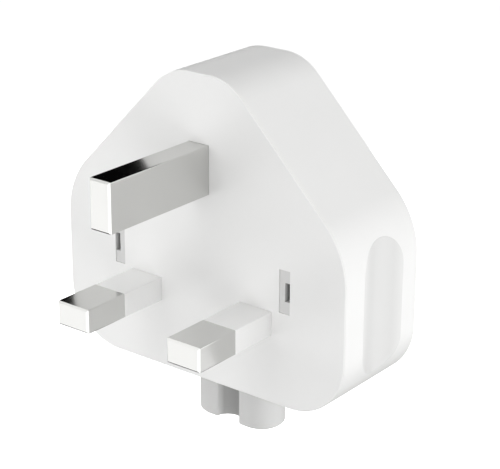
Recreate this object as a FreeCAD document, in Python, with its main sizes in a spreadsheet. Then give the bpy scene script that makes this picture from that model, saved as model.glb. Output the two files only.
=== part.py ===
import FreeCAD, Part
import Sketcher
import math
import os

# A three pin mains plug head for a compact power adaptor.
# Frame: +X to the right facing the pins, +Y back into the housing, +Z up towards the earth pin.
# Origin: on the face that meets the socket, midway between the line and neutral pins.

# Driving dimensions in millimetres, apart from the two angles in degrees
SIZES = (
    # Housing outline: the distance of each straight edge from the origin, and the corner radii
    ("housing_half_width", 28.0),
    ("housing_crown", 37.2),
    ("housing_base", 13.45),
    ("shoulder_distance", 30.12),
    ("shoulder_angle", 45.83),
    ("crown_radius", 8.9),
    ("shoulder_radius", 14.2),
    ("base_radius", 10.2),
    ("housing_depth", 19.9),
    ("wall", 2.2),
    ("front_edge_bevel", 0.2),
    ("rear_edge_bevel", 0.6),
    # Finger scoops down both sides
    ("scoop_width", 10.4),
    ("scoop_depth", 1.1),
    ("scoop_centre", 10.1),
    # Rear cover and its latches
    ("cover_thickness", 2.0),
    ("cover_ledge", 1.0),
    ("cover_gap", 0.1),
    ("cover_bevel", 0.2),
    ("window_inner", 15.7),
    ("window_width", 2.05),
    ("window_low", 2.3),
    ("window_height", 7.15),
    ("window_ledge", 0.5),
    ("ledge_depth", 1.5),
    ("hook_setback", 0.1),
    ("hook_gap", 0.05),
    ("notch_width", 0.95),
    ("notch_height", 3.1),
    ("notch_depth", 5.0),
    ("rib_thickness", 1.2),
    ("rib_height", 2.0),
    ("rib_spacing", 18.0),
    ("post_span", 4.4),
    ("post_rib", 1.2),
    ("post_rise", 10.5),
    # Pins, on the pitch of a 13 A socket
    ("pin_offset", 11.1),
    ("pin_width", 6.35),
    ("pin_height", 4.0),
    ("pin_reach", 17.3),
    ("earth_rise", 22.2),
    ("earth_width", 4.0),
    ("earth_height", 8.0),
    ("earth_reach", 22.3),
    ("pin_tip_bevel", 0.3),
    ("pin_edge_radius", 0.15),
    ("pin_gap", 0.02),
    ("sleeve_reach", 8.8),
    ("sleeve_wall", 0.6),
    ("collar_margin", 0.8),
    ("collar_thickness", 1.5),
    ("tail_margin", 0.7),
    # Pin carrier and the plate that clamps the pins into it
    ("carrier_fit", 0.3),
    ("carrier_arm_gap", 0.25),
    ("carrier_base", 4.6),
    ("carrier_radius", 2.5),
    ("carrier_thickness", 3.2),
    ("clamp_inset", 0.6),
    ("clamp_thickness", 2.0),
    ("part_gap", 0.1),
    ("screw_offset", 8.2),
    ("screw_rise", 14.0),
    ("screw_radius", 1.25),
    ("screw_bite", 4.2),
    ("screw_head_radius", 2.4),
    ("screw_head_height", 1.5),
    ("screw_head_bevel", 0.6),
    ("screw_recess_span", 2.8),
    ("screw_recess_width", 0.7),
    ("screw_recess_depth", 0.9),
    ("boss_radius", 2.5),
    ("boss_floor", 0.4),
    # Connector peg
    ("peg_advance", 1.92),
    ("peg_lobe_offset", 4.06),
    ("peg_lobe_radius", 3.93),
    ("peg_length", 10.7),
    ("peg_end_bevel", 0.3),
    ("peg_gap", 0.08),
    ("peg_groove_radius", 2.2),
    ("peg_groove_rounding", 0.35),
    ("peg_groove_cover", 0.6),
    ("flange_margin", 2.0),
    ("flange_thickness", 2.0),
    ("flange_radius", 2.5),
    ("contact_spacing", 8.6),
    ("entry_radius", 1.5),
    ("entry_depth", 1.8),
    ("entry_bevel", 0.35),
    # Socket contacts, their springs and the cap over them
    ("contact_bore_radius", 1.25),
    ("contact_wall", 0.7),
    ("contact_neck", 0.2),
    ("contact_crown", 2.0),
    ("contact_slit", 0.5),
    ("contact_slit_length", 8.0),
    ("spigot_radius", 0.9),
    ("spigot_proud", 0.4),
    ("spring_thickness", 0.4),
    ("spring_length", 4.0),
    ("spring_rise", 1.0),
    ("spring_split", 1.1),
    ("contact_gap", 0.05),
    ("cap_thickness", 2.0),
    ("cap_inset", 0.4),
    ("fin_thickness", 1.0),
    ("fin_height", 6.0),
    # Straps from the pins to the contacts, and the rivets that hold them
    ("strap_thickness", 0.8),
    ("strap_width", 4.4),
    ("strap_eye", 5.2),
    ("strap_end_margin", 2.9),
    ("strap_tab", 2.47),
    ("strap_radius", 1.0),
    ("rivet_radius", 1.2),
    ("rivet_bite", 3.0),
    ("rivet_head_radius", 2.1),
    ("rivet_head_height", 0.9),
    ("rivet_head_bevel", 0.4),
)


class Length:
    """A number together with the sheet formula that gives it."""

    def __init__(self, formula, number):
        self.formula = formula
        self.number = number

    def __add__(self, other):
        other = as_length(other)
        return Length(f"({self.formula} + {other.formula})", self.number + other.number)

    def __sub__(self, other):
        other = as_length(other)
        return Length(f"({self.formula} - {other.formula})", self.number - other.number)

    def __mul__(self, other):
        other = as_length(other)
        return Length(f"({self.formula} * {other.formula})", self.number * other.number)

    def __truediv__(self, other):
        other = as_length(other)
        return Length(f"({self.formula} / {other.formula})", self.number / other.number)

    def __neg__(self):
        return self * -1

    __radd__ = __add__
    __rmul__ = __mul__

    def __rsub__(self, other):
        return as_length(other) - self


def as_length(value):
    return value if isinstance(value, Length) else Length(f"({value})", float(value))


def smaller(first, second):
    return Length(f"min({first.formula}; {second.formula})", min(first.number, second.number))


def trigonometric(name, degrees):
    """The sine, cosine or tangent of an angle that the sheet gives in degrees."""
    number = getattr(math, name)(math.radians(degrees.number))
    return Length(f"{name}({degrees.formula})", number)


class Sizes:
    """The sheet's cells as lengths, one attribute for each alias."""

    def __init__(self, sheet, names):
        for name in names:
            setattr(self, name, Length(f"{sheet.Name}.{name}", float(sheet.get(name))))


def fill_sheet(doc):
    sheet = doc.addObject("Spreadsheet::Sheet", "Sizes")
    for row, (name, number) in enumerate(SIZES, start=1):
        sheet.set(f"A{row}", name)
        sheet.set(f"B{row}", str(number))
        sheet.setAlias(f"B{row}", name)
    doc.recompute()
    return sheet


doc = FreeCAD.newDocument("plug")
size = Sizes(fill_sheet(doc), [name for name, number in SIZES])

LEFT, RIGHT = -1, 1
ORIGIN = (-1, 1)
TOUCH = 0.001
CROWN_SHARE = 0.9


# Places that several pieces share

cover_seat = size.housing_depth - size.cover_thickness
carrier_back = size.wall + size.carrier_thickness
clamp_back = carrier_back + size.clamp_thickness
strap_back = clamp_back + size.strap_thickness
window_outer = size.window_inner + size.window_width
window_top = size.window_low + size.window_height
window_middle = size.window_low + size.window_height / 2
throat_inner = size.window_inner + size.window_ledge
carrier_half_width = throat_inner - size.carrier_arm_gap
flange_seat = size.wall - size.housing_base
flange_top = flange_seat + size.flange_thickness
cap_top = flange_top + size.cap_thickness
peg_centre = (strap_back + cover_seat) / 2 - size.peg_advance
peg_end = -(size.housing_base + size.peg_length)
contact_foot = peg_end + size.entry_depth
contact_radius = size.contact_bore_radius + size.contact_wall
neck_radius = contact_radius - size.contact_neck
spring_radius = neck_radius + size.contact_gap + size.spring_thickness
well_radius = spring_radius + size.contact_gap


# Sketch and feature helpers


def new_body(name):
    body = doc.addObject("PartDesign::Body", name)
    body.Label = name
    return body


def new_sketch(body, name, role, height=0):
    """A sketch on one of the body's own origin planes, moved along that plane's normal."""
    sketch = body.newObject("Sketcher::SketchObject", name)
    plane = next(item for item in body.Origin.OriginFeatures if item.Role == role)
    sketch.AttachmentSupport = [(plane, "")]
    sketch.MapMode = "FlatFace"
    height = as_length(height)
    sketch.AttachmentOffset.Base.z = height.number
    sketch.setExpression("AttachmentOffset.Base.z", height.formula)
    return sketch


def face_sketch(body, name, y=0):
    """A sketch parallel to the plug's face: right is +X and up is +Z."""
    return new_sketch(body, name, "XZ_Plane", -as_length(y))


def level_sketch(body, name, z=0):
    """A level sketch: right is +X and up is +Y."""
    return new_sketch(body, name, "XY_Plane", z)


def bind(sketch, kind, places, length):
    """Add a constraint whose value follows the sheet."""
    length = as_length(length)
    index = sketch.addConstraint(Sketcher.Constraint(kind, *places, length.number))
    sketch.setExpression(f"Constraints[{index}]", length.formula)


def place_point(sketch, geometry, end, point):
    """Hold one end of a line, or an arc's centre, at a point measured from the origin."""
    bind(sketch, "DistanceX", (*ORIGIN, geometry, end), point[0])
    bind(sketch, "DistanceY", (*ORIGIN, geometry, end), point[1])


def vector(point):
    return FreeCAD.Vector(as_length(point[0]).number, as_length(point[1]).number, 0)


def draw_polygon(sketch, points):
    """A closed outline of straight lines, each corner tied to the sheet."""
    lines = []
    for start, end in zip(points, points[1:] + points[:1]):
        lines.append(sketch.addGeometry(Part.LineSegment(vector(start), vector(end)), False))
    for line, following in zip(lines, lines[1:] + lines[:1]):
        sketch.addConstraint(Sketcher.Constraint("Coincident", line, 2, following, 1))
    for line, point in zip(lines, points):
        place_point(sketch, line, 1, point)


def draw_rectangle(sketch, left, right, low, high):
    draw_polygon(sketch, [(left, low), (right, low), (right, high), (left, high)])


def draw_centred_rectangle(sketch, width, height, centre=(0, 0)):
    across, up = as_length(centre[0]), as_length(centre[1])
    draw_rectangle(
        sketch, across - width / 2, across + width / 2, up - height / 2, up + height / 2
    )


def draw_cross(sketch, span, width, centre=(0, 0)):
    """Two bars of one span and width, crossed at right angles."""
    far, near = span / 2, width / 2
    corners = [(far, -near), (far, near), (near, near), (near, far)]
    corners += [(-near, far), (-near, near), (-far, near), (-far, -near)]
    corners += [(-near, -near), (-near, -far), (near, -far), (near, -near)]
    across, up = as_length(centre[0]), as_length(centre[1])
    draw_polygon(sketch, [(across + right, up + above) for right, above in corners])


def draw_circle(sketch, radius, centre=(0, 0)):
    circle = Part.Circle(vector(centre), FreeCAD.Vector(0, 0, 1), as_length(radius).number)
    index = sketch.addGeometry(circle, False)
    place_point(sketch, index, 3, centre)
    bind(sketch, "Radius", (index,), radius)


def draw_arc(sketch, centre, radius, start, end):
    """An anticlockwise arc between two angles in degrees."""
    circle = Part.Circle(vector(centre), FreeCAD.Vector(0, 0, 1), as_length(radius).number)
    return sketch.addGeometry(
        Part.ArcOfCircle(circle, math.radians(start), math.radians(end)), False
    )


def draw_stadium(sketch, lobe_offset, radius, centre_up):
    """Two half circles joined by straight lines, symmetrical about the vertical axis."""
    right = (lobe_offset, centre_up)
    left = (-as_length(lobe_offset), centre_up)
    right_arc = draw_arc(sketch, right, radius, -90, 90)
    left_arc = draw_arc(sketch, left, radius, 90, 270)
    above, below = centre_up + radius, centre_up - radius
    top = sketch.addGeometry(
        Part.LineSegment(vector((right[0], above)), vector((left[0], above))), False
    )
    bottom = sketch.addGeometry(
        Part.LineSegment(vector((left[0], below)), vector((right[0], below))), False
    )
    for arc, arc_end, line, line_end in (
        (right_arc, 2, top, 1),
        (left_arc, 1, top, 2),
        (left_arc, 2, bottom, 1),
        (right_arc, 1, bottom, 2),
    ):
        sketch.addConstraint(Sketcher.Constraint("Tangent", arc, arc_end, line, line_end))
    place_point(sketch, right_arc, 3, right)
    place_point(sketch, left_arc, 3, left)
    bind(sketch, "Radius", (right_arc,), radius)
    bind(sketch, "Radius", (left_arc,), radius)


def crossing(first, second):
    """The point where two straight edges meet, each given by its outward angle and distance."""
    (angle_a, far_a), (angle_b, far_b) = first, second
    cos_a, sin_a = math.cos(angle_a), math.sin(angle_a)
    cos_b, sin_b = math.cos(angle_b), math.sin(angle_b)
    turn = cos_a * sin_b - sin_a * cos_b
    across = (far_a * sin_b - far_b * sin_a) / turn
    up = (far_b * cos_a - far_a * cos_b) / turn
    return FreeCAD.Vector(across, up, 0)


def draw_house(sketch, side, shoulder, crown, base, radii, inset=0):
    """Upright sides, sloping shoulders, level crown and base, with rounded corners.

    Each edge is set by its distance from the origin, so one inset moves them all in alike.
    The radii are those of the base, shoulder and crown corners. The crown's are limited by
    its width, and shoulders that meet below the crown end in one rounded peak.
    """
    side, shoulder, crown, base = (distance - inset for distance in (side, shoulder, crown, base))
    base_radius, shoulder_radius, crown_radius = (radius - inset for radius in radii)
    tilt = size.shoulder_angle
    slope = math.radians(90 - tilt.number)
    half_turn = math.pi
    half_crown = (shoulder - crown * trigonometric("cos", tilt)) / trigonometric("sin", tilt)
    level_crown = half_crown.number > 0
    if level_crown:
        widest = half_crown * CROWN_SHARE / trigonometric("tan", tilt / 2)
        crown_radius = smaller(crown_radius, widest)
    # The outward angle, the distance and the direction of each edge, and the corner after it
    edges = [
        (0.0, side, "Vertical", shoulder_radius),
        (slope, shoulder, "Sloping", crown_radius),
        (half_turn / 2, crown, "Horizontal", crown_radius),
        (half_turn - slope, shoulder, "Sloping", shoulder_radius),
        (half_turn, side, "Vertical", base_radius),
        (half_turn * 3 / 2, base, "Horizontal", base_radius),
    ]
    if not level_crown:
        del edges[2]
    places = [(angle, distance.number) for angle, distance, kind, radius in edges]
    arcs, starts, ends = [], [], []
    for index, (here, following) in enumerate(zip(places, places[1:] + places[:1])):
        radius = edges[index][3].number
        half_bend = (following[0] - here[0]) % (2 * half_turn) / 2
        middle = here[0] + half_bend
        back = radius / math.cos(half_bend)
        outwards = FreeCAD.Vector(math.cos(middle), math.sin(middle), 0)
        circle = Part.Circle(
            crossing(here, following) - outwards * back, FreeCAD.Vector(0, 0, 1), radius
        )
        arc = Part.ArcOfCircle(circle, here[0], here[0] + 2 * half_bend)
        arcs.append(sketch.addGeometry(arc, False))
        ends.append(arc.StartPoint)
        starts.append(arc.EndPoint)
    lines = [
        sketch.addGeometry(Part.LineSegment(starts[index - 1], ends[index]), False)
        for index in range(len(edges))
    ]
    for index, arc in enumerate(arcs):
        following = lines[(index + 1) % len(lines)]
        sketch.addConstraint(Sketcher.Constraint("Tangent", lines[index], 2, arc, 1))
        sketch.addConstraint(Sketcher.Constraint("Tangent", arc, 2, following, 1))
        bind(sketch, "Radius", (arc,), edges[index][3])
    for line, (angle, distance, direction, radius) in zip(lines, edges):
        bind(sketch, "Distance", (*ORIGIN, line), distance)
        if direction != "Sloping":
            sketch.addConstraint(Sketcher.Constraint(direction, line))
            continue
        sense = 1 if angle < half_turn / 2 else -1
        heading = math.radians(sense * (180 - tilt.number))
        index = sketch.addConstraint(Sketcher.Constraint("Angle", line, heading))
        sketch.setExpression(f"Constraints[{index}]", f"{sense} * (180 - {tilt.formula}) * 1 deg")


def draw_housing(sketch, inset=0):
    draw_house(
        sketch,
        size.housing_half_width,
        size.shoulder_distance,
        size.housing_crown,
        size.housing_base,
        (size.base_radius, size.shoulder_radius, size.crown_radius),
        inset,
    )


def draw_carrier(sketch, inset=0):
    """An outline that fits the top of the cavity, between the latch arms."""
    fit = size.wall + size.carrier_fit
    draw_house(
        sketch,
        carrier_half_width,
        size.shoulder_distance - fit,
        size.housing_crown - fit,
        size.carrier_base,
        (size.carrier_radius, size.carrier_radius, size.crown_radius - fit),
        inset,
    )


def extrude(body, kind, sketch, length, backwards):
    feature = body.newObject(f"PartDesign::{kind}", f"{sketch.Name}{kind}")
    feature.Profile = sketch
    feature.Reversed = backwards
    length = as_length(length)
    feature.Length = length.number
    feature.setExpression("Length", length.formula)
    before = body.Shape.Volume if kind == "Pocket" else 0
    doc.recompute()
    if kind == "Pocket" and not body.Shape.Volume < before - TOUCH:
        raise RuntimeError(f"{feature.Name} cuts nothing")
    return feature


def pad_back(body, sketch, length):
    """Add material from a face sketch towards +Y."""
    return extrude(body, "Pad", sketch, length, True)


def pad_forward(body, sketch, length):
    """Add material from a face sketch towards -Y."""
    return extrude(body, "Pad", sketch, length, False)


def pad_up(body, sketch, length):
    """Add material from a level sketch towards +Z."""
    return extrude(body, "Pad", sketch, length, False)


def cut_back(body, sketch, length):
    """Cut from a face sketch towards +Y."""
    return extrude(body, "Pocket", sketch, length, False)


def cut_forward(body, sketch, length):
    """Cut from a face sketch towards -Y."""
    return extrude(body, "Pocket", sketch, length, True)


def cut_up(body, sketch, length):
    """Cut from a level sketch towards +Z."""
    return extrude(body, "Pocket", sketch, length, True)


def cut_down(body, sketch, length):
    """Cut from a level sketch towards -Z."""
    return extrude(body, "Pocket", sketch, length, False)


def revolve(body, sketch, axis):
    feature = body.newObject("PartDesign::Revolution", f"{sketch.Name}Revolution")
    feature.Profile = sketch
    feature.ReferenceAxis = (sketch, [axis])
    feature.Angle = 360
    doc.recompute()
    return feature


def dress(body, kind, radius, wanted, name):
    """Round or bevel every edge of the body for which wanted(edge) is true."""
    base = body.Tip
    edges = [f"Edge{n}" for n, edge in enumerate(base.Shape.Edges, start=1) if wanted(edge)]
    if not edges:
        raise RuntimeError(f"{name} finds no edge")
    feature = body.newObject(f"PartDesign::{kind}", name)
    feature.Base = (base, edges)
    setattr(feature, {"Fillet": "Radius", "Chamfer": "Size"}[kind], radius.number)
    feature.setExpression({"Fillet": "Radius", "Chamfer": "Size"}[kind], radius.formula)
    doc.recompute()
    return feature


def in_plane(edge, axis, place):
    """True for an edge that lies in the plane where axis (x, y or z) equals place."""
    box = edge.BoundBox
    low, high = (getattr(box, axis.upper() + end) for end in ("Min", "Max"))
    return abs(low - as_length(place).number) < TOUCH and abs(high - as_length(place).number) < TOUCH


def runs_along(edge, axis):
    """True for a straight edge parallel to an axis (x, y or z)."""
    box = edge.BoundBox
    spans = {name: getattr(box, name.upper() + "Length") for name in "xyz"}
    return spans.pop(axis) > TOUCH and max(spans.values()) < TOUCH


def set_place(body, x=0, y=0, z=0):
    for axis, place in (("x", x), ("y", y), ("z", z)):
        place = as_length(place)
        setattr(body.Placement.Base, axis, place.number)
        body.setExpression(f"Placement.Base.{axis}", place.formula)


# Housing


def window_spans(side, inner, outer):
    """The left and right edges of a window or latch on one side of the plug."""
    return sorted((side * inner, side * outer), key=lambda length: length.number)


def draw_pin_openings(sketch, gap, margin=0):
    """The three pins' sections, each larger all round by the gap and the margin."""
    extra = 2 * (as_length(gap) + margin)
    for side in (LEFT, RIGHT):
        centre = (side * size.pin_offset, 0)
        draw_centred_rectangle(sketch, size.pin_width + extra, size.pin_height + extra, centre)
    centre = (0, size.earth_rise)
    draw_centred_rectangle(sketch, size.earth_width + extra, size.earth_height + extra, centre)


def draw_scoop(sketch, side):
    """The section of a finger scoop: a shallow arc below the wall, closed well outside it."""
    wall_face = side * size.housing_half_width
    open_face = side * (size.housing_half_width + size.scoop_depth)
    half_width = size.scoop_width / 2
    radius = (half_width * half_width / size.scoop_depth + size.scoop_depth) / 2
    centre = (side * (size.housing_half_width - size.scoop_depth + radius), size.scoop_centre)
    near, far = size.scoop_centre - half_width, size.scoop_centre + half_width
    half_bend = math.degrees(math.asin(half_width.number / radius.number))
    facing = 180 if side == RIGHT else 0
    arc = draw_arc(sketch, centre, radius, facing - half_bend, facing + half_bend)
    path = [(wall_face, far), (open_face, far), (open_face, near), (wall_face, near)]
    if side == LEFT:
        path.reverse()
    out, across, back = (
        sketch.addGeometry(Part.LineSegment(vector(start), vector(end)), False)
        for start, end in zip(path, path[1:])
    )
    place_point(sketch, arc, 3, centre)
    bind(sketch, "Radius", (arc,), radius)
    place_point(sketch, across, 1, path[1])
    place_point(sketch, across, 2, path[2])
    for joint in (
        ("Coincident", arc, 1, out, 1),
        ("Coincident", out, 2, across, 1),
        ("Coincident", across, 2, back, 1),
        ("Coincident", back, 2, arc, 2),
        ("Horizontal", out),
        ("Horizontal", back),
    ):
        sketch.addConstraint(Sketcher.Constraint(*joint))


def make_front_shell():
    """The moulded housing: the face and the side walls in one piece, open at the back."""
    body = new_body("front_shell")
    outline = face_sketch(body, "Outline")
    draw_housing(outline)
    pad_back(body, outline, size.housing_depth)
    dress(body, "Chamfer", size.front_edge_bevel, lambda edge: in_plane(edge, "y", 0), "FrontEdge")
    dress(
        body,
        "Chamfer",
        size.rear_edge_bevel,
        lambda edge: in_plane(edge, "y", size.housing_depth),
        "RearEdge",
    )

    cavity = face_sketch(body, "Cavity", size.housing_depth)
    draw_housing(cavity, size.wall)
    cut_forward(body, cavity, size.housing_depth - size.wall)
    rebate = face_sketch(body, "Rebate", size.housing_depth)
    draw_housing(rebate, size.wall - size.cover_ledge)
    cut_forward(body, rebate, size.cover_thickness)

    scoops = level_sketch(body, "Scoops", -size.housing_base)
    for side in (LEFT, RIGHT):
        draw_scoop(scoops, side)
    cut_up(body, scoops, size.housing_base + size.housing_crown)

    pins = face_sketch(body, "PinOpenings")
    draw_pin_openings(pins, size.pin_gap)
    cut_back(body, pins, size.wall)
    recess = face_sketch(body, "LatchWindows")
    throat = face_sketch(body, "LatchThroats", size.ledge_depth)
    for side in (LEFT, RIGHT):
        near, far = window_spans(side, size.window_inner, window_outer)
        draw_rectangle(recess, near, far, size.window_low, window_top)
        near, far = window_spans(side, throat_inner, window_outer)
        draw_rectangle(throat, near, far, size.window_low, window_top)
    cut_back(body, recess, size.ledge_depth)
    cut_back(body, throat, size.wall - size.ledge_depth)

    bosses = face_sketch(body, "ScrewBosses", size.wall)
    pilots = face_sketch(body, "ScrewPilots", size.wall - size.boss_floor)
    for side in (LEFT, RIGHT):
        centre = (side * size.screw_offset, size.screw_rise)
        draw_circle(bosses, size.boss_radius, centre)
        draw_circle(pilots, size.screw_radius + size.pin_gap, centre)
    pad_back(body, bosses, size.carrier_thickness - size.part_gap)
    cut_back(body, pilots, size.carrier_thickness + size.boss_floor)

    opening = level_sketch(body, "PegOpening", -size.housing_base)
    draw_stadium(opening, size.peg_lobe_offset, size.peg_lobe_radius + size.peg_gap, peg_centre)
    cut_up(body, opening, size.wall)
    return body


def make_rear_cover():
    """The plate that closes the housing, with its latch arms, ribs and support post."""
    body = new_body("rear_cover")
    plate = face_sketch(body, "Plate", cover_seat)
    draw_housing(plate, size.wall - size.cover_ledge + size.cover_gap)
    pad_back(body, plate, size.cover_thickness)
    dress(
        body,
        "Chamfer",
        size.cover_bevel,
        lambda edge: in_plane(edge, "y", size.housing_depth),
        "RimBevel",
    )

    arms = face_sketch(body, "LatchArms", cover_seat)
    low, high = size.window_low + size.hook_gap, window_top - size.hook_gap
    barbs = face_sketch(body, "LatchBarbs", size.hook_setback)
    notches = face_sketch(body, "ReleaseNotches")
    arm_outer = window_outer - size.hook_gap
    for side in (LEFT, RIGHT):
        near, far = window_spans(side, throat_inner + size.hook_gap, arm_outer)
        draw_rectangle(arms, near, far, low, high)
        near, far = window_spans(side, size.window_inner + size.hook_gap, arm_outer)
        draw_rectangle(barbs, near, far, low, high)
        near, far = window_spans(side, arm_outer - size.notch_width, window_outer)
        half_notch = size.notch_height / 2
        draw_rectangle(notches, near, far, window_middle - half_notch, window_middle + half_notch)
    pad_forward(body, arms, cover_seat - size.ledge_depth)
    pad_back(body, barbs, size.ledge_depth - size.hook_setback)
    cut_back(body, notches, size.notch_depth)

    ribs = face_sketch(body, "StiffeningRibs", cover_seat)
    half_rib, half_span = size.rib_thickness / 2, size.rib_spacing / 2
    for side in (LEFT, RIGHT):
        near, far = window_spans(side, half_span - half_rib, half_span + half_rib)
        draw_rectangle(ribs, near, far, flange_top + size.hook_gap, size.earth_rise)
    pad_forward(body, ribs, size.rib_height)

    keepers = face_sketch(body, "PegKeepers", cover_seat)
    for side in (LEFT, RIGHT):
        near, far = window_spans(side, half_span - half_rib, half_span + half_rib)
        draw_rectangle(keepers, near, far, flange_top + size.hook_gap, -size.pin_height)
    pad_forward(body, keepers, cover_seat - strap_back - size.rivet_head_height - size.part_gap)

    post = face_sketch(body, "SupportPost", cover_seat)
    draw_cross(post, size.post_span, size.post_rib, (0, size.post_rise))
    pad_forward(body, post, cover_seat - clamp_back - size.part_gap)
    return body


# Pins and what holds them


def draw_pin_tails(sketch, gap):
    """The reduced ends of the line and neutral pins, which reach the straps."""
    for side in (LEFT, RIGHT):
        draw_tail(sketch, (side * size.pin_offset, 0), gap)


def draw_tail(sketch, centre=(0, 0), gap=0):
    shrink = 2 * (size.tail_margin - gap)
    draw_centred_rectangle(sketch, size.pin_width - shrink, size.pin_height - shrink, centre)


def make_pin_carrier():
    """The inner frame that sets the three pins to pitch, counterbored for their collars."""
    body = new_body("pin_carrier")
    plate = face_sketch(body, "Plate", size.wall)
    draw_carrier(plate)
    pad_back(body, plate, size.carrier_thickness)
    pins = face_sketch(body, "PinOpenings", size.wall)
    draw_pin_openings(pins, size.pin_gap)
    cut_back(body, pins, size.carrier_thickness)
    collars = face_sketch(body, "CollarRecesses", carrier_back)
    draw_pin_openings(collars, size.part_gap, size.collar_margin)
    cut_forward(body, collars, size.collar_thickness)
    bosses = face_sketch(body, "BossOpenings", size.wall)
    span = 2 * (size.boss_radius + size.part_gap)
    for side in (LEFT, RIGHT):
        draw_centred_rectangle(bosses, span, span, (side * size.screw_offset, size.screw_rise))
    cut_back(body, bosses, size.carrier_thickness)
    return body


def make_pin_clamp_plate():
    """The plate screwed over the pins' collars."""
    body = new_body("pin_clamp_plate")
    plate = face_sketch(body, "Plate", carrier_back)
    draw_carrier(plate, size.clamp_inset)
    pad_back(body, plate, size.clamp_thickness)
    tails = face_sketch(body, "TailOpenings", carrier_back)
    draw_pin_tails(tails, size.part_gap)
    cut_back(body, tails, size.clamp_thickness)
    screws = face_sketch(body, "ScrewHoles", carrier_back)
    for side in (LEFT, RIGHT):
        centre = (side * size.screw_offset, size.screw_rise)
        draw_circle(screws, size.screw_radius + size.part_gap, centre)
    cut_back(body, screws, size.clamp_thickness)
    return body


def finish_pin(body, reach, width, height):
    """Bevel the tip and soften the long edges of the blade in front of the face."""
    dress(body, "Chamfer", size.pin_tip_bevel, lambda edge: in_plane(edge, "y", -reach), "TipBevel")

    def long_edge(edge):
        box = edge.BoundBox
        outermost = abs(abs(box.XMin) - width.number / 2) < TOUCH
        return outermost and runs_along(edge, "y") and abs(abs(box.ZMin) - height.number / 2) < TOUCH

    dress(body, "Fillet", size.pin_edge_radius, long_edge, "LongEdges")


def add_collar(body, width, height):
    collar = face_sketch(body, "Collar", carrier_back)
    margin = 2 * size.collar_margin
    draw_centred_rectangle(collar, width + margin, height + margin)
    pad_forward(body, collar, size.collar_thickness)


def make_earth_pin():
    """The long solid pin that opens the socket's shutters."""
    body = new_body("earth_pin")
    blade = face_sketch(body, "Blade", carrier_back)
    draw_centred_rectangle(blade, size.earth_width, size.earth_height)
    pad_forward(body, blade, carrier_back + size.earth_reach)
    finish_pin(body, size.earth_reach, size.earth_width, size.earth_height)
    add_collar(body, size.earth_width, size.earth_height)
    set_place(body, z=size.earth_rise)
    return body


def make_live_pin(name, side):
    """A line or neutral pin: blade, neck under the sleeve, collar and drilled tail."""
    body = new_body(name)
    blade = face_sketch(body, "Blade", -size.sleeve_reach)
    draw_centred_rectangle(blade, size.pin_width, size.pin_height)
    pad_forward(body, blade, size.pin_reach - size.sleeve_reach)
    finish_pin(body, size.pin_reach, size.pin_width, size.pin_height)
    neck = face_sketch(body, "Neck", carrier_back)
    shrink = 2 * size.sleeve_wall
    draw_centred_rectangle(neck, size.pin_width - shrink, size.pin_height - shrink)
    pad_forward(body, neck, carrier_back + size.sleeve_reach)
    add_collar(body, size.pin_width, size.pin_height)
    tail = face_sketch(body, "Tail", carrier_back)
    draw_tail(tail)
    pad_back(body, tail, size.clamp_thickness)
    hole = face_sketch(body, "RivetHole", clamp_back)
    draw_circle(hole, size.rivet_radius + size.pin_gap)
    cut_forward(body, hole, size.rivet_bite + size.part_gap)
    set_place(body, x=side * size.pin_offset)
    return body


def make_pin_sleeve(name, side):
    """The insulating sleeve moulded round a pin's neck, flush with the blade."""
    body = new_body(name)
    collar_front = carrier_back - size.collar_thickness
    outer = face_sketch(body, "Outer", collar_front)
    draw_centred_rectangle(outer, size.pin_width, size.pin_height)
    length = collar_front + size.sleeve_reach
    pad_forward(body, outer, length)
    dress(body, "Fillet", size.pin_edge_radius, lambda edge: runs_along(edge, "y"), "LongEdges")
    inner = face_sketch(body, "Inner", collar_front)
    shrink = 2 * size.sleeve_wall
    draw_centred_rectangle(inner, size.pin_width - shrink, size.pin_height - shrink)
    cut_forward(body, inner, length)
    set_place(body, x=side * size.pin_offset)
    return body


def make_clamp_screw(name, side):
    """A pan head screw through the clamp plate into a boss of the housing."""
    body = new_body(name)
    profile = level_sketch(body, "Profile")
    tip = clamp_back - size.screw_bite
    head = clamp_back + size.screw_head_height
    draw_polygon(
        profile,
        [
            (0, tip),
            (size.screw_radius, tip),
            (size.screw_radius, clamp_back),
            (size.screw_head_radius, clamp_back),
            (size.screw_head_radius, head - size.screw_head_bevel),
            (size.screw_head_radius - size.screw_head_bevel, head),
            (0, head),
        ],
    )
    revolve(body, profile, "V_Axis")
    recess = face_sketch(body, "CrossRecess", head)
    draw_cross(recess, size.screw_recess_span, size.screw_recess_width)
    cut_forward(body, recess, size.screw_recess_depth)
    set_place(body, x=side * size.screw_offset, z=size.screw_rise)
    return body


# Connector peg and its contacts


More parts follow.
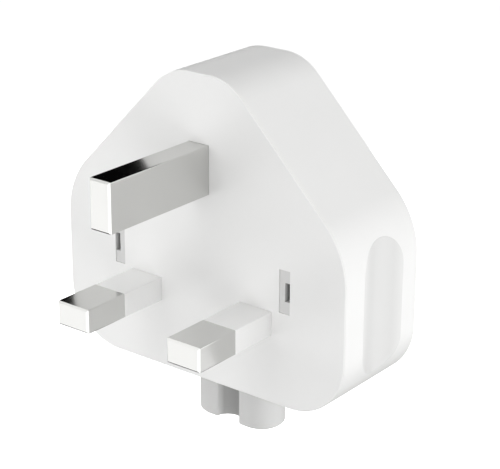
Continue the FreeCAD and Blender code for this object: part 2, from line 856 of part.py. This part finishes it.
def make_connector_peg():
    """The figure-of-eight peg that enters the adaptor, flanged inside the housing."""
    body = new_body("connector_peg")
    stem = level_sketch(body, "Stem", peg_end)
    draw_stadium(stem, size.peg_lobe_offset, size.peg_lobe_radius, peg_centre)
    pad_up(body, stem, flange_top - peg_end)
    groove = level_sketch(body, "Groove", peg_end)
    draw_circle(groove, size.peg_groove_radius, (0, peg_centre - size.peg_lobe_radius))
    cut_up(body, groove, size.peg_length + size.peg_groove_cover)

    def groove_mouth(edge):
        box = edge.BoundBox
        at_mouth = abs(abs(box.XMin) - size.peg_groove_radius.number) < TOUCH
        return at_mouth and runs_along(edge, "z")

    dress(body, "Fillet", size.peg_groove_rounding, groove_mouth, "GrooveMouth")
    dress(body, "Chamfer", size.peg_end_bevel, lambda edge: in_plane(edge, "z", peg_end), "EndBevel")
    flange = level_sketch(body, "Flange", flange_seat)
    half_width = size.peg_lobe_offset + size.peg_lobe_radius + size.flange_margin
    front = peg_centre - size.peg_lobe_radius - size.flange_margin
    draw_rectangle(flange, -half_width, half_width, front, cover_seat - size.part_gap)
    pad_up(body, flange, size.flange_thickness)

    def flange_corner(edge):
        return runs_along(edge, "z") and abs(abs(edge.BoundBox.XMin) - half_width.number) < TOUCH

    dress(body, "Fillet", size.flange_radius, flange_corner, "FlangeCorners")
    wells = level_sketch(body, "ContactWells", flange_top)
    entries = level_sketch(body, "ContactEntries", contact_foot)
    for side in (LEFT, RIGHT):
        centre = (side * size.contact_spacing / 2, peg_centre)
        draw_circle(wells, well_radius, centre)
        draw_circle(entries, size.entry_radius, centre)
    cut_down(body, wells, flange_top - contact_foot)
    cut_down(body, entries, size.entry_depth)

    def entry_rim(edge):
        if not in_plane(edge, "z", peg_end) or not edge.isClosed():
            return False
        return abs(edge.Curve.Radius - size.entry_radius.number) < TOUCH

    dress(body, "Chamfer", size.entry_bevel, entry_rim, "EntryBevel")
    return body


def make_contact(name, side):
    """A turned socket, slit so that it grips a pin, with a spigot for the strap."""
    body = new_body(name)
    profile = face_sketch(body, "Profile")
    bore_top = flange_top - size.contact_crown
    spring_foot = contact_foot + size.spring_rise
    spring_top = spring_foot + size.spring_length + 2 * size.contact_gap
    spigot_top = cap_top + size.strap_thickness + size.spigot_proud
    draw_polygon(
        profile,
        [
            (size.contact_bore_radius, contact_foot),
            (contact_radius, contact_foot),
            (contact_radius, spring_foot),
            (neck_radius, spring_foot),
            (neck_radius, spring_top),
            (contact_radius, spring_top),
            (contact_radius, flange_top),
            (size.spigot_radius, flange_top),
            (size.spigot_radius, spigot_top),
            (0, spigot_top),
            (0, bore_top),
            (size.contact_bore_radius, bore_top),
        ],
    )
    revolve(body, profile, "V_Axis")
    slit = level_sketch(body, "Slit", contact_foot)
    draw_centred_rectangle(slit, size.contact_slit, 3 * contact_radius)
    cut_up(body, slit, size.contact_slit_length)
    set_place(body, x=side * size.contact_spacing / 2, y=peg_centre)
    return body


def make_contact_spring(name, side):
    """The split steel ring that closes the socket's two fingers."""
    body = new_body(name)
    ring = level_sketch(body, "Ring", contact_foot + size.spring_rise + size.contact_gap)
    draw_circle(ring, spring_radius)
    draw_circle(ring, spring_radius - size.spring_thickness)
    pad_up(body, ring, size.spring_length)
    split = level_sketch(body, "Split", contact_foot)
    inner, outer = window_spans(side, neck_radius / 2, well_radius)
    draw_rectangle(split, inner, outer, -size.spring_split / 2, size.spring_split / 2)
    cut_up(body, split, size.spring_rise + size.spring_length + size.contact_neck)
    set_place(body, x=side * size.contact_spacing / 2, y=peg_centre)
    return body


def make_contact_cap():
    """The insulating cap that holds both contacts down, with a fin between them."""
    body = new_body("contact_cap")
    plate = level_sketch(body, "Plate", flange_top)
    radius = size.peg_lobe_radius - size.cap_inset
    draw_stadium(plate, size.peg_lobe_offset, radius, peg_centre)
    pad_up(body, plate, size.cap_thickness)
    fin = level_sketch(body, "Fin", cap_top)
    half_fin = size.fin_thickness / 2
    near, far = peg_centre - radius, peg_centre + radius
    draw_rectangle(fin, -half_fin, half_fin, near, far)
    pad_up(body, fin, size.fin_height)
    holes = level_sketch(body, "SpigotHoles", cap_top)
    for side in (LEFT, RIGHT):
        centre = (side * size.contact_spacing / 2, peg_centre)
        draw_circle(holes, size.spigot_radius + size.contact_gap, centre)
    cut_down(body, holes, size.cap_thickness)
    return body


# Straps and rivets


def make_strap(name, side):
    """A blanked and folded strip from a pin's tail down to its contact."""
    body = new_body(name)
    leaf = face_sketch(body, "Leaf", clamp_back)
    inner = size.contact_spacing / 2 - size.strap_width / 2
    leg = inner + size.strap_width
    end = size.pin_offset + size.strap_end_margin
    half_eye = size.strap_eye / 2
    draw_polygon(
        leaf,
        [
            (side * inner, cap_top),
            (side * leg, cap_top),
            (side * leg, -half_eye),
            (side * end, -half_eye),
            (side * end, half_eye),
            (side * inner, half_eye),
        ],
    )
    pad_back(body, leaf, size.strap_thickness)

    def blank_corner(edge):
        return runs_along(edge, "y") and edge.BoundBox.ZMin > cap_top.number + TOUCH

    dress(body, "Fillet", size.strap_radius, blank_corner, "BlankCorners")
    tab = level_sketch(body, "Tab", cap_top)
    near, far = window_spans(side, inner, leg)
    draw_rectangle(tab, near, far, strap_back, peg_centre + size.strap_tab)
    pad_up(body, tab, size.strap_thickness)
    eye = face_sketch(body, "RivetEye", clamp_back)
    draw_circle(eye, size.rivet_radius + size.pin_gap, (side * size.pin_offset, 0))
    cut_back(body, eye, size.strap_thickness)
    hole = level_sketch(body, "SpigotHole", cap_top)
    centre = (side * size.contact_spacing / 2, peg_centre)
    draw_circle(hole, size.spigot_radius + size.contact_gap, centre)
    cut_up(body, hole, size.strap_thickness)
    return body


def make_rivet(name, side):
    """The round head rivet that holds a strap to its pin."""
    body = new_body(name)
    profile = level_sketch(body, "Profile")
    tip, head = clamp_back - size.rivet_bite, strap_back + size.rivet_head_height
    draw_polygon(
        profile,
        [
            (0, tip),
            (size.rivet_radius, tip),
            (size.rivet_radius, strap_back),
            (size.rivet_head_radius, strap_back),
            (size.rivet_head_radius, head - size.rivet_head_bevel),
            (size.rivet_head_radius - size.rivet_head_bevel, head),
            (0, head),
        ],
    )
    revolve(body, profile, "V_Axis")
    set_place(body, x=side * size.pin_offset)
    return body


def make_all():
    pieces = [
        make_front_shell(),
        make_rear_cover(),
        make_pin_carrier(),
        make_pin_clamp_plate(),
        make_earth_pin(),
        make_connector_peg(),
        make_contact_cap(),
    ]
    for word, side in (("line", LEFT), ("neutral", RIGHT)):
        pieces.append(make_live_pin(f"{word}_pin", side))
        pieces.append(make_pin_sleeve(f"{word}_pin_sleeve", side))
        pieces.append(make_contact(f"{word}_contact", side))
        pieces.append(make_contact_spring(f"{word}_contact_spring", side))
        pieces.append(make_strap(f"{word}_strap", side))
        pieces.append(make_rivet(f"{word}_rivet", side))
    for word, side in (("left", LEFT), ("right", RIGHT)):
        pieces.append(make_clamp_screw(f"clamp_screw_{word}", side))
    return pieces


def check(pieces):
    for item in doc.Objects:
        if {"Invalid", "Error"} & set(item.State):
            raise RuntimeError(f"{item.Name} failed: {item.State}")
    for piece in pieces:
        if piece.Shape.isNull() or not piece.Shape.isValid():
            raise RuntimeError(f"{piece.Label} has no valid shape")


def write(pieces):
    os.makedirs("parts", exist_ok=True)
    for piece in pieces:
        piece.Shape.exportStep(f"parts/{piece.Label}.step")
        box = piece.Shape.BoundBox
        print(
            f"{piece.Label}: {piece.Shape.Volume:.1f} mm3, "
            f"{box.XLength:.2f} x {box.YLength:.2f} x {box.ZLength:.2f} mm"
        )


pieces = make_all()
doc.recompute()
check(pieces)
write(pieces)
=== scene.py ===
import math

import bpy
from mathutils import Matrix, Vector

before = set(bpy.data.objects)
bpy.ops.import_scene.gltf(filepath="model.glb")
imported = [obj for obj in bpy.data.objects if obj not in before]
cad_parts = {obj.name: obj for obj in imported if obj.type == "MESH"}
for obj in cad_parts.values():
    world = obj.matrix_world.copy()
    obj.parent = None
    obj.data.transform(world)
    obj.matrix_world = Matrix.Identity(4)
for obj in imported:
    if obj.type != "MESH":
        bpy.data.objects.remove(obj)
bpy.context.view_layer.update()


# Front shell: the face and side walls of the plug, moulded in one piece of white
# polycarbonate in a fine spark-eroded tool. Everything else is fixed inside it.

MM = 0.001

# The sockets of a Mix node that blends colours come after those for numbers and vectors.
MIX_FACTOR, MIX_LOW, MIX_HIGH, MIX_RESULT = 0, 6, 7, 2

# Nearly all values of a noise texture lie between these two.
NOISE_LOW, NOISE_HIGH = 0.3, 0.7


def linear(hex_colour):
    """An sRGB hex colour as the linear values that a colour socket takes."""
    parts = [int(hex_colour[start:start + 2], 16) / 255 for start in (1, 3, 5)]
    parts = [c / 12.92 if c <= 0.04045 else ((c + 0.055) / 1.055) ** 2.4 for c in parts]
    return (*parts, 1.0)


def add_node(tree, kind, settings=None, sockets=None):
    """Add a shader node. Each socket is given by name or number, with a value or with the
    output of another node."""
    node = tree.nodes.new(kind)
    for name, value in (settings or {}).items():
        setattr(node, name, value)
    for key, value in (sockets or {}).items():
        if isinstance(value, bpy.types.NodeSocket):
            tree.links.new(value, node.inputs[key])
        else:
            node.inputs[key].default_value = value
    return node


def new_material(name):
    """An empty material with its node tree, and the object coordinates for its pattern."""
    material = bpy.data.materials.new(name)
    material.use_nodes = True
    tree = material.node_tree
    tree.nodes.clear()
    return material, tree, add_node(tree, "ShaderNodeTexCoord").outputs["Object"]


def end_material(tree, shader):
    add_node(tree, "ShaderNodeOutputMaterial", sockets={"Surface": shader.outputs["BSDF"]})


def satin_moulding(name, light, dark, roughness, grain, ior):
    """Moulded plastic with a fine satin grain: two near tones that drift over some millimetres,
    a grain of the given size, and a gloss that varies a little as the tool's texture does."""
    drift_length = 9 * MM
    grain_height = 0.01 * MM
    relief = 0.35
    material, tree, place = new_material(name)
    drift = add_node(tree, "ShaderNodeTexNoise", sockets={
        "Vector": place, "Scale": 1 / drift_length, "Detail": 3.0, "Roughness": 0.5})
    tone = add_node(tree, "ShaderNodeMix", {"data_type": "RGBA"}, {
        MIX_FACTOR: drift.outputs["Fac"], MIX_LOW: linear(dark), MIX_HIGH: linear(light)})
    spark = add_node(tree, "ShaderNodeTexNoise", sockets={
        "Vector": place, "Scale": 1 / grain, "Detail": 2.0, "Roughness": 0.6})
    gloss = add_node(tree, "ShaderNodeMapRange", sockets={
        "Value": spark.outputs["Fac"], "From Min": NOISE_LOW, "From Max": NOISE_HIGH,
        "To Min": roughness - 0.04, "To Max": roughness + 0.05})
    bump = add_node(tree, "ShaderNodeBump", sockets={
        "Strength": relief, "Distance": grain_height, "Height": spark.outputs["Fac"]})
    shader = add_node(tree, "ShaderNodeBsdfPrincipled", sockets={
        "Base Color": tone.outputs[MIX_RESULT], "Roughness": gloss.outputs["Result"],
        "IOR": ior, "Normal": bump.outputs["Normal"]})
    end_material(tree, shader)
    return material


def finish_nodes(material, *nodes):
    for node in nodes:
        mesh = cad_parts[node].data
        mesh.materials.clear()
        mesh.materials.append(material)


def side_axes(material):
    """The object coordinates of a material, with X as the distance from the middle plane."""
    tree = material.node_tree
    axes = add_node(tree, "ShaderNodeSeparateXYZ", sockets={
        "Vector": tree.nodes["Texture Coordinate"].outputs["Object"]})
    outward = add_node(tree, "ShaderNodeMath", {"operation": "ABSOLUTE"}, {
        0: axes.outputs["X"]})
    return outward.outputs["Value"], axes.outputs["Y"], axes.outputs["Z"]


def tint(material, mask, tone):
    """Lay another tone over a moulding's colour, as strongly as the mask says."""
    tree = material.node_tree
    colour = tree.nodes["Principled BSDF"].inputs["Base Color"]
    mixed = add_node(tree, "ShaderNodeMix", {"data_type": "RGBA"}, {
        MIX_FACTOR: mask, MIX_LOW: colour.links[0].from_socket, MIX_HIGH: linear(tone)})
    tree.links.new(mixed.outputs[MIX_RESULT], colour)


# Polycarbonate gives a soft, slightly wide highlight and a neutral white. Its real grain is
# near 0.05 mm, drawn here at 0.25 mm so that it shows at all.
white_polycarbonate = satin_moulding(
    "polycarbonate_white_spark_eroded", "#f7f7f6", "#f4f4f3", 0.36, 0.25 * MM, 1.585)
finish_nodes(white_polycarbonate, "front_shell")

# The two finger scoops get painted shade: a darker tone that grows with the depth of the
# hollow.
# Each is a cylinder along Z. The mask lies on that cylinder and grows with the depth, and the
# painted shade reaches further up the rear flank than up the front one, so the depth is taken
# at a slant.
SCOOP_AXIS = (39.74 * MM, 10.1 * MM, 0)
SCOOP_RADIUS = 12.84 * MM
SCOOP_TOLERANCE = 0.04 * MM
SCOOP_SLANT = -0.08
SCOOP_RIM, SCOOP_FLOOR = 27.19 * MM, 26.29 * MM

tree = white_polycarbonate.node_tree
outward, back, _ = side_axes(white_polycarbonate)
section = add_node(tree, "ShaderNodeCombineXYZ", sockets={"X": outward, "Y": back})
reach = add_node(tree, "ShaderNodeVectorMath", {"operation": "DISTANCE"}, {
    0: section.outputs["Vector"], 1: SCOOP_AXIS})
on_scoop = add_node(tree, "ShaderNodeMath", {"operation": "COMPARE"}, {
    0: reach.outputs["Value"], 1: SCOOP_RADIUS, 2: SCOOP_TOLERANCE})
slanted = add_node(tree, "ShaderNodeMath", {"operation": "MULTIPLY_ADD"}, {
    0: back, 1: SCOOP_SLANT, 2: outward})
depth = add_node(tree, "ShaderNodeMapRange", sockets={
    "Value": slanted.outputs["Value"], "From Min": SCOOP_RIM, "From Max": SCOOP_FLOOR})
scoop_painted_shade = add_node(tree, "ShaderNodeMath", {"operation": "MULTIPLY"}, {
    0: on_scoop.outputs["Value"], 1: depth.outputs["Result"]})
tint(white_polycarbonate, scoop_painted_shade.outputs["Value"], "#e1e1e0")


# Rear cover: the plate that snaps into the shell's rebate, moulded in the same light grey
# glass-filled polyester as the connector peg. Its two hooks show in the windows of the face.

grey_polyester = satin_moulding(
    "polyester_glass_filled_grey", "#dededd", "#d9d9d8", 0.5, 0.2 * MM, 1.57)
finish_nodes(grey_polyester, "rear_cover")

# The walls of the windows and of the hooks' slots get painted shade: a darker tone, more so
# further in.
# The mask is a box round each window.
WINDOW_OUTWARD, WINDOW_HALF_WIDTH = 16.72 * MM, 1.1 * MM
WINDOW_UP, WINDOW_HALF_HEIGHT = 5.88 * MM, 3.65 * MM
WINDOW_FLOOR = 6 * MM
DARK_FROM, DARK_FULL, DARK_SHARE = 0.12 * MM, 1.2 * MM, 0.6

for material in (white_polycarbonate, grey_polyester):
    tree = material.node_tree
    outward, back, up = side_axes(material)
    across = add_node(tree, "ShaderNodeMath", {"operation": "COMPARE"}, {
        0: outward, 1: WINDOW_OUTWARD, 2: WINDOW_HALF_WIDTH})
    along = add_node(tree, "ShaderNodeMath", {"operation": "COMPARE"}, {
        0: up, 1: WINDOW_UP, 2: WINDOW_HALF_HEIGHT})
    front = add_node(tree, "ShaderNodeMath", {"operation": "LESS_THAN"}, {
        0: back, 1: WINDOW_FLOOR})
    inward = add_node(tree, "ShaderNodeMapRange", sockets={
        "Value": back, "From Min": DARK_FROM, "From Max": DARK_FULL, "To Max": DARK_SHARE})
    window = add_node(tree, "ShaderNodeMath", {"operation": "MULTIPLY"}, {
        0: across.outputs["Value"], 1: along.outputs["Value"]})
    hollow = add_node(tree, "ShaderNodeMath", {"operation": "MULTIPLY"}, {
        0: window.outputs["Value"], 1: front.outputs["Value"]})
    window_painted_shade = add_node(tree, "ShaderNodeMath", {"operation": "MULTIPLY"}, {
        0: hollow.outputs["Value"], 1: inward.outputs["Result"]})
    tint(material, window_painted_shade.outputs["Value"], "#3c3c3c")


# Pin carrier, clamp plate and contact cap: plain insulating mouldings that are never seen
# from outside. The carrier and its plate trap the pins' collars; the cap covers the contacts.

inner_nylon = satin_moulding(
    "nylon_natural_as_moulded", "#e9e7df", "#e1dfd6", 0.5, 0.4 * MM, 1.53)
finish_nodes(inner_nylon, "pin_carrier", "pin_clamp_plate", "contact_cap")


# Pins: solid brass blades, stamped, tumbled smooth and bright nickel plated. Each is held by
# a collar between the carrier and its plate.


def bright_metal(name, light, dark, roughness, line_pitch, along):
    """Polished or plated metal: faint drawing lines along one axis, a slow drift of tone and
    a gloss that varies with the lines."""
    drift_length = 6 * MM
    line_stretch = 60
    line_height = 0.002 * MM
    relief = 0.12
    material, tree, place = new_material(name)
    line_scale = [1 / line_pitch] * 3
    line_scale["XYZ".index(along)] /= line_stretch
    lines_at = add_node(tree, "ShaderNodeMapping", sockets={
        "Vector": place, "Scale": line_scale})
    lines = add_node(tree, "ShaderNodeTexNoise", sockets={
        "Vector": lines_at.outputs["Vector"], "Scale": 1.0, "Detail": 3.0, "Roughness": 0.6})
    drift = add_node(tree, "ShaderNodeTexNoise", sockets={
        "Vector": place, "Scale": 1 / drift_length, "Detail": 2.0, "Roughness": 0.5})
    tone = add_node(tree, "ShaderNodeMix", {"data_type": "RGBA"}, {
        MIX_FACTOR: drift.outputs["Fac"], MIX_LOW: linear(dark), MIX_HIGH: linear(light)})
    gloss = add_node(tree, "ShaderNodeMapRange", sockets={
        "Value": lines.outputs["Fac"], "From Min": NOISE_LOW, "From Max": NOISE_HIGH,
        "To Min": roughness - 0.02, "To Max": roughness + 0.03})
    bump = add_node(tree, "ShaderNodeBump", sockets={
        "Strength": relief, "Distance": line_height, "Height": lines.outputs["Fac"]})
    shader = add_node(tree, "ShaderNodeBsdfPrincipled", sockets={
        "Base Color": tone.outputs[MIX_RESULT], "Metallic": 1.0,
        "Roughness": gloss.outputs["Result"], "Normal": bump.outputs["Normal"]})
    end_material(tree, shader)
    return material


# Bright nickel over smooth brass mirrors the face behind it, a little blurred, and is nearly
# neutral. The drawing lines are about 0.2 mm apart.
nickel_plate = bright_metal(
    "brass_bright_nickel_plated", "#d3d3d1", "#cfcfcd", 0.15, 0.2 * MM, "Y")
finish_nodes(nickel_plate, "earth_pin", "line_pin", "neutral_pin")


# Pin sleeves: white nylon moulded round the necks of the line and neutral pins, so that a
# half drawn plug shows no live metal. Flush with the blades.

sleeve_nylon = satin_moulding(
    "nylon_white_overmoulded", "#ececeb", "#e9e9e8", 0.42, 0.2 * MM, 1.53)
finish_nodes(sleeve_nylon, "line_pin_sleeve", "neutral_pin_sleeve")


# Contacts, straps and rivets: brass, turned or blanked, left bare. The straps are riveted to
# the pins' tails and soldered to the contacts' spigots.

bare_brass = bright_metal("brass_bare_turned", "#dcc07c", "#d3b46c", 0.22, 0.15 * MM, "Z")
finish_nodes(
    bare_brass, "line_contact", "neutral_contact", "line_strap", "neutral_strap",
    "line_rivet", "neutral_rivet")


# Contact springs and clamp screws: hard steel. The springs are split rings that close the
# contacts' fingers; the screws are zinc plated.

spring_steel = bright_metal(
    "steel_spring_tempered", "#b3b6ba", "#a6a9ad", 0.25, 0.1 * MM, "Z")
finish_nodes(spring_steel, "line_contact_spring", "neutral_contact_spring")
zinc_plate = bright_metal("steel_zinc_plated", "#c3c6c9", "#b6b9bc", 0.3, 0.2 * MM, "Y")
finish_nodes(zinc_plate, "clamp_screw_left", "clamp_screw_right")


# Connector peg: the figure-of-eight plug that enters the adaptor, of the rear cover's grey
# polyester, a shade darker and duller. Its flange sits inside the shell.

peg_polyester = satin_moulding(
    "polyester_glass_filled_matt", "#d5d5d4", "#d0d0cf", 0.55, 0.2 * MM, 1.57)
finish_nodes(peg_polyester, "connector_peg")

# The groove between the lobes gets painted shade: its tone is darkened to stand for the shade
# in the hollow. It is in the peg's front half.
GROOVE_EDGE, GROOVE_FULL = 2.2 * MM, 1.8 * MM
PEG_MIDDLE = 11.1 * MM

tree = peg_polyester.node_tree
outward, back, _ = side_axes(peg_polyester)
between = add_node(tree, "ShaderNodeMapRange", sockets={
    "Value": outward, "From Min": GROOVE_EDGE, "From Max": GROOVE_FULL})
front = add_node(tree, "ShaderNodeMath", {"operation": "LESS_THAN"}, {0: back, 1: PEG_MIDDLE})
groove_painted_shade = add_node(tree, "ShaderNodeMath", {"operation": "MULTIPLY"}, {
    0: between.outputs["Result"], 1: front.outputs["Value"]})
tint(peg_polyester, groove_painted_shade.outputs["Value"], "#aaaaa9")


# Studio: a pale light table well under the plug, soft boxes round it, and a camera where the
# photographer's was. The plug hangs free, as in the photograph.

TABLE_SPAN = 30.0
TABLE_DROP = 0.3

bpy.ops.mesh.primitive_plane_add(size=TABLE_SPAN, location=(0, 0, -TABLE_DROP))
floor = bpy.context.active_object
floor.name = "floor"
table, tree, place = new_material("acrylic_light_table")
haze = add_node(tree, "ShaderNodeTexNoise", sockets={
    "Vector": place, "Scale": 3.0, "Detail": 2.0})
glow = add_node(tree, "ShaderNodeMapRange", sockets={
    "Value": haze.outputs["Fac"], "To Min": 0.9, "To Max": 0.93})
shader = add_node(tree, "ShaderNodeBsdfPrincipled", sockets={
    "Base Color": linear("#f4f4f4"), "Roughness": 0.6, "Emission Color": linear("#ffffff"),
    "Emission Strength": glow.outputs["Result"]})
end_material(tree, shader)
floor.data.materials.append(table)

# Only the camera sees the table: it lights nothing and the pins don't mirror it.
floor.visible_diffuse = False
floor.visible_glossy = False
floor.visible_shadow = False


def softbox(name, place, radiance, width=0.9, height=0.9, target=(0, 0, 0.01)):
    """A soft rectangular light that faces a target, equally bright all over and not seen by
    the camera. Its radiance is in watts per square metre and steradian."""
    data = bpy.data.lights.new(name, "AREA")
    data.shape = "RECTANGLE"
    data.size, data.size_y = width, height
    data.energy = radiance * math.pi * width * height
    light = bpy.data.objects.new(name, data)
    bpy.context.scene.collection.objects.link(light)
    turn = (Vector(target) - Vector(place)).to_track_quat("-Z", "Y")
    light.matrix_world = Matrix.Translation(place) @ turn.to_matrix().to_4x4()
    light.visible_camera = False
    return light


softbox("softbox_right", (0.962, -0.258, 0.087), 0.8)
softbox("softbox_back_right", (0.875, 0.408, 0.259), 1.85)
softbox("softbox_left", (-0.962, -0.258, 0.087), 2.6)
softbox("softbox_front_left", (-0.383, -0.663, 0.643), 1.4)
softbox("softbox_front", (0.492, -0.853, 0.174), 1.1)
softbox("softbox_low_right", (0.736, -0.575, -0.358), 1.9, width=0.45, height=0.45)
softbox("softbox_top", (0.0, 0.0, 1.0), 1.55)
softbox("card_low_left", (-0.287, -0.368, -0.179), 1.47, width=0.3, height=0.2)
softbox("card_low_back", (0.46, 0.59, -0.286), 1.12, width=0.5, height=0.3, target=(0, 0, 0))

# The fills light the plastic and are left out of the pins' reflections.
fills = (
    softbox("fill_under", (0, 0, -0.28), 0.55, width=1.2, height=1.2, target=(0, 0, 0)),
    softbox("fill_front", (0.321, -0.883, -0.342), 0.1),
    softbox("fill_back", (-0.42, 0.91, 0), 2.4),
    softbox("fill_side", (0.903, 0.079, -0.423), 0.8),
)
for fill in fills:
    fill.visible_glossy = False

# Beyond the table's edge the camera sees a backdrop of the same pale tone. It lights nothing.
world = bpy.data.worlds.new("pale_backdrop")
bpy.context.scene.world = world
world.use_nodes = True
world.node_tree.nodes["Background"].inputs["Color"].default_value = linear("#fbfbfb")
world.cycles_visibility.diffuse = False
world.cycles_visibility.glossy = False
world.cycles_visibility.transmission = False
world.cycles_visibility.scatter = False
bpy.context.scene.view_settings.view_transform = "Standard"

# The place, direction and lens that fit the photographed pins and the housing's outline.
AZIMUTH, ELEVATION, ROLL = 37.908, 20.990, 0.306

camera_data = bpy.data.cameras.new("camera")
camera_data.sensor_width = 36.0
camera_data.lens = 119.01
camera_data.clip_start = 0.01
camera = bpy.data.objects.new("camera", camera_data)
bpy.context.scene.collection.objects.link(camera)
camera.matrix_world = (
    Matrix.Translation((0.15404, -0.18489, 0.10358))
    @ Matrix.Rotation(math.radians(AZIMUTH), 4, "Z")
    @ Matrix.Rotation(math.radians(90 - ELEVATION), 4, "X")
    @ Matrix.Rotation(math.radians(ROLL), 4, "Z")
)
bpy.context.scene.camera = camera
